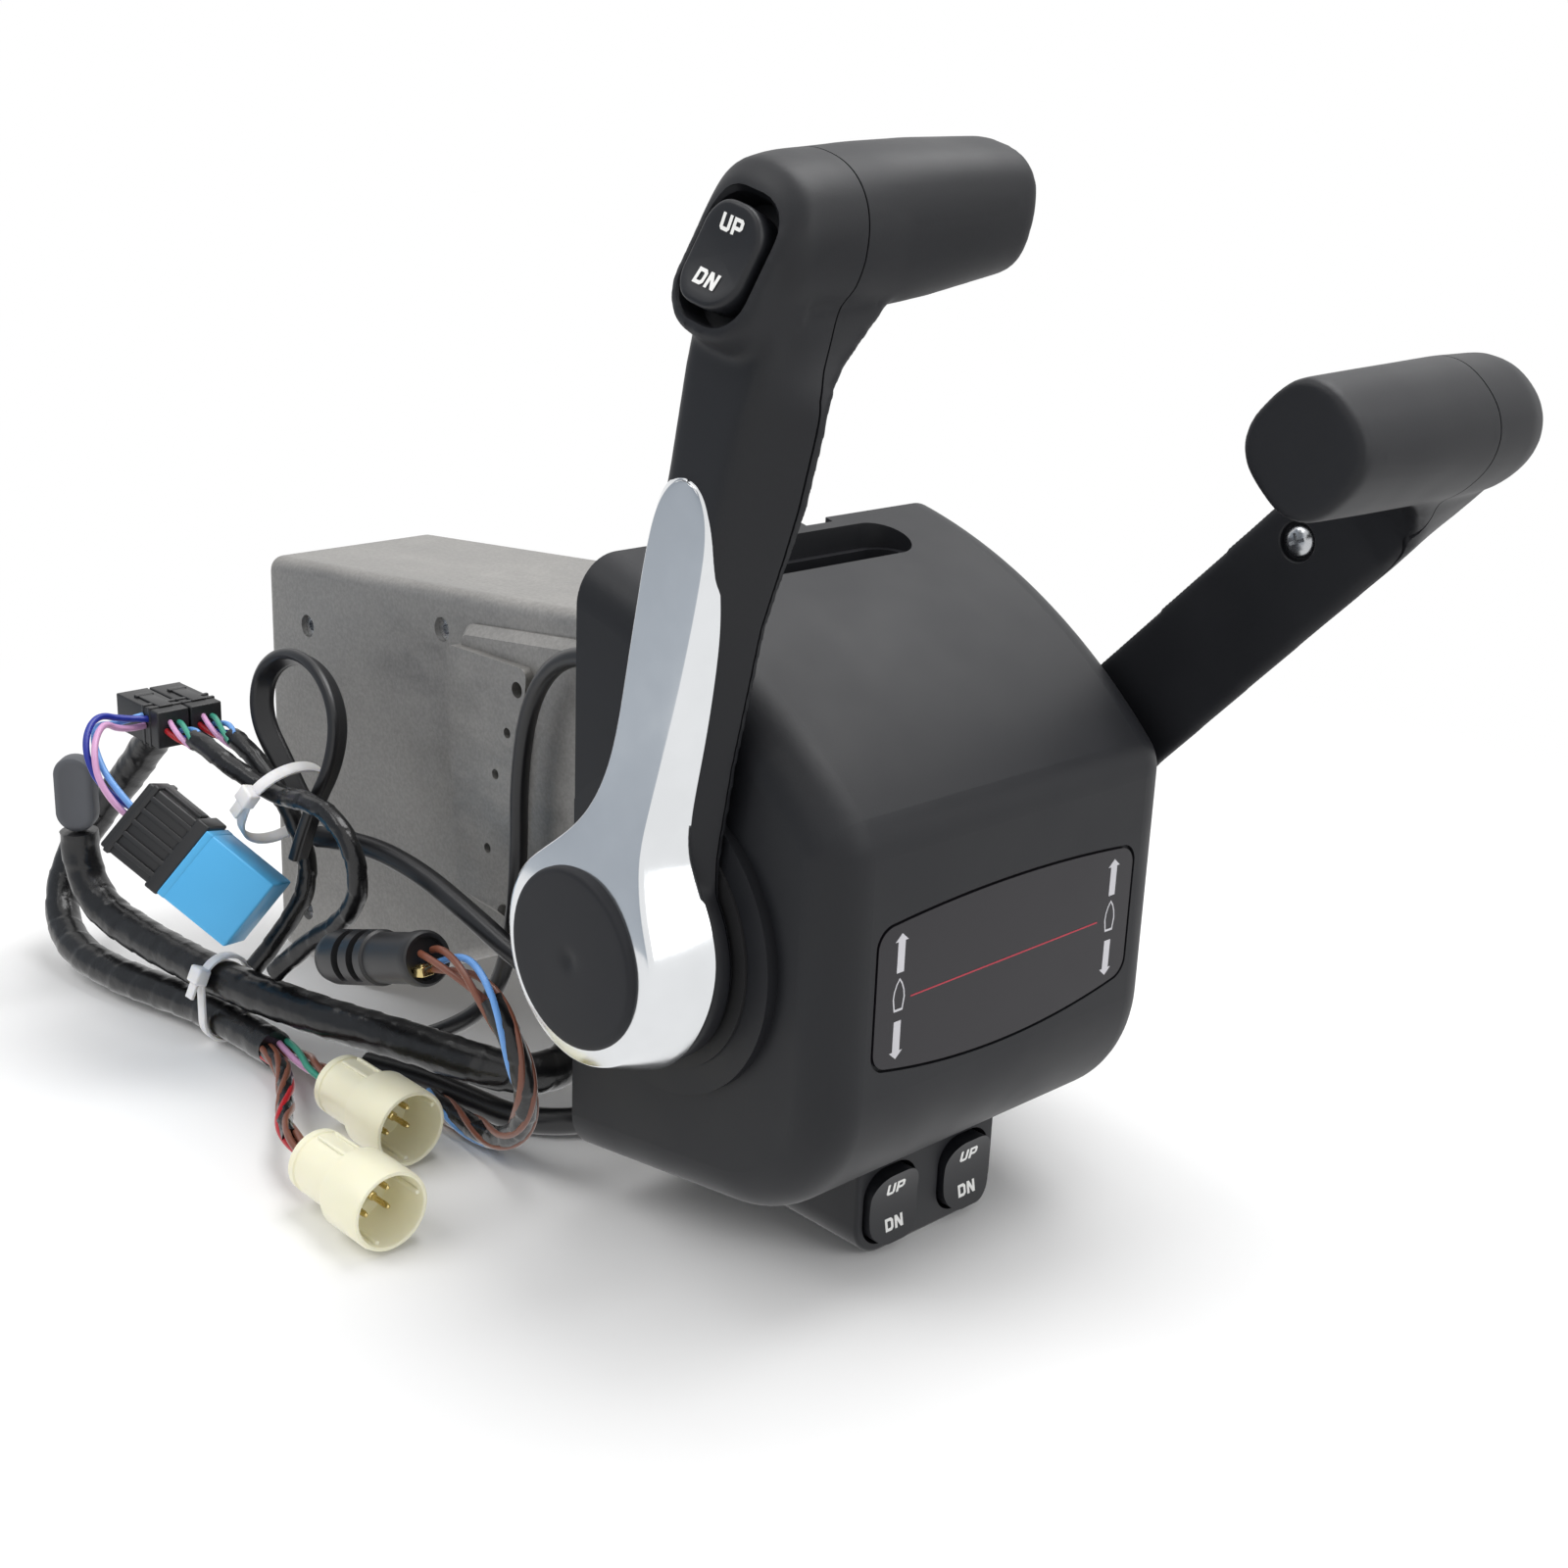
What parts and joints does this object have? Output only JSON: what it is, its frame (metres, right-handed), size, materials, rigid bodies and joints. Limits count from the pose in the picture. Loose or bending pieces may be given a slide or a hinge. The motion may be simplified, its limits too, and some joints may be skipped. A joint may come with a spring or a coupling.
{
  "type": "boat throttle control lever",
  "caption": "Twin-lever marine engine control: two chromed levers with inward grips on a moulded cover, rocker switches, cast mechanism case behind and a wiring harness.",
  "frame": {"origin": "middle of the bounding box of the control without its free harness, at its base: the case foot and the lower edge of the switch apron rest on z = 0", "axes": "+X out of the console towards the helmsman, +Y starboard, +Z boat-forward, the way that the levers go for ahead"},
  "size_m": [0.4575, 0.2335, 0.3061],
  "materials": {
    "cover_plastic": "moulded, fine matte grain",
    "label_plastic": "smooth satin panel with printed arrows, boat outlines and a line",
    "plate_steel": "black coated plate",
    "key_plastic": "satin",
    "lever_plastic": "moulded satin",
    "cap_plastic": "fine matte",
    "trim_chrome": "bright chromium plate",
    "cast_case": "die cast, tumbled",
    "screw_steel": "zinc plated",
    "shaft_steel": "ground",
    "gear_steel": "cut",
    "bush_brass": "turned",
    "seal_rubber": "matte",
    "cable_black": "taped loom and sheathed cable",
    "connector_cream": "cream nylon",
    "terminal_brass": "tinned brass",
    "housing_black": "moulded",
    "relay_blue": "light blue shell",
    "tie_nylon": "natural nylon"
  },
  "bodies": {
    "fixed": {"cover": "cover_plastic", "label_plate": "label_plastic", "base_plate": "plate_steel", "cover_screws": "screw_steel", "switch_apron": "cover_plastic", "port_case": "cast_case", "starboard_case": "cast_case", "port_bush": "bush_brass", "starboard_bush": "bush_brass", "port_hub_seal": "seal_rubber", "starboard_hub_seal": "seal_rubber", "case_screws": "screw_steel", "flange_screws": "screw_steel", "grommets": "seal_rubber", "main_loom": "cable_black", "return_loom": "cable_black", "trim_lead": "cable_black", "supply_cable": "cable_black", "switch_cable": "cable_black", "loop_cable": "cable_black", "branch_loom": "cable_black", "feeder_loom": "cable_black", "relay_lead": "cable_black", "barrel_lead": "cable_black", "upper_lead": "cable_black", "lower_lead": "cable_black", "connector_upper": "connector_cream", "connector_lower": "connector_cream", "terminals": "terminal_brass", "relay_socket": "housing_black", "relay": "relay_blue", "barrel": "housing_black", "lead_connectors": "housing_black", "loom_cap": "seal_rubber", "zip_ties": "tie_nylon"},
    "port_lever": {"port_arm": "lever_plastic", "port_grip": "lever_plastic", "port_trim": "trim_chrome", "port_hub_cap": "cap_plastic", "port_shaft": "shaft_steel", "port_hub_bolt": "screw_steel", "port_lever_screw": "screw_steel", "port_drive_gear": "gear_steel"},
    "starboard_lever": {"starboard_arm": "lever_plastic", "starboard_grip": "lever_plastic", "starboard_trim": "trim_chrome", "starboard_hub_cap": "cap_plastic", "starboard_shaft": "shaft_steel", "starboard_hub_bolt": "screw_steel", "starboard_lever_screw": "screw_steel", "starboard_drive_gear": "gear_steel"},
    "port_output": {"port_output_gear": "gear_steel", "port_output_shaft": "shaft_steel", "port_throttle_arm": "gear_steel"},
    "starboard_output": {"starboard_output_gear": "gear_steel", "starboard_output_shaft": "shaft_steel", "starboard_throttle_arm": "gear_steel"},
    "grip_rocker": {"grip_rocker": "key_plastic"},
    "apron_rocker_port": {"apron_rocker_port": "key_plastic"},
    "apron_rocker_starboard": {"apron_rocker_starboard": "key_plastic"}
  },
  "joints": [
    {"name": "port_lever_swing", "type": "hinge", "parent": "fixed", "child": "port_lever", "pos_m": [0.0498, 0, 0.097], "axis": [0, -1, 0], "range_deg": [-137.8, 7.2]},
    {"name": "starboard_lever_swing", "type": "hinge", "parent": "fixed", "child": "starboard_lever", "pos_m": [0.0498, 0, 0.097], "axis": [0, -1, 0], "range_deg": [-107.2, 37.8]},
    {"name": "port_output_turn", "type": "hinge", "parent": "fixed", "child": "port_output", "pos_m": [0.0018, 0, 0.097], "axis": [0, -1, 0], "range_deg": [-4.2, 69.5]},
    {"name": "starboard_output_turn", "type": "hinge", "parent": "fixed", "child": "starboard_output", "pos_m": [0.0018, 0, 0.097], "axis": [0, -1, 0], "range_deg": [-19.5, 54.2]},
    {"name": "grip_rocker_tilt", "type": "hinge", "parent": "port_lever", "child": "grip_rocker", "pos_m": [0.0883, -0.08903, 0.27508], "axis": [0.9774, 0, -0.2113], "range_deg": [-8, 8], "stiffness_Nm_per_rad": 0.02},
    {"name": "apron_rocker_port_tilt", "type": "hinge", "parent": "fixed", "child": "apron_rocker_port", "pos_m": [0.0867, -0.0151, 0.0144], "axis": [0, 1, 0], "range_deg": [-8, 8], "stiffness_Nm_per_rad": 0.02},
    {"name": "apron_rocker_starboard_tilt", "type": "hinge", "parent": "fixed", "child": "apron_rocker_starboard", "pos_m": [0.0867, 0.0151, 0.0144], "axis": [0, 1, 0], "range_deg": [-8, 8], "stiffness_Nm_per_rad": 0.02}
  ],
  "couplings": [
    {"joint": "port_output_turn", "follows": "port_lever_swing", "ratio": -0.5},
    {"joint": "starboard_output_turn", "follows": "starboard_lever_swing", "ratio": -0.5}
  ]
}
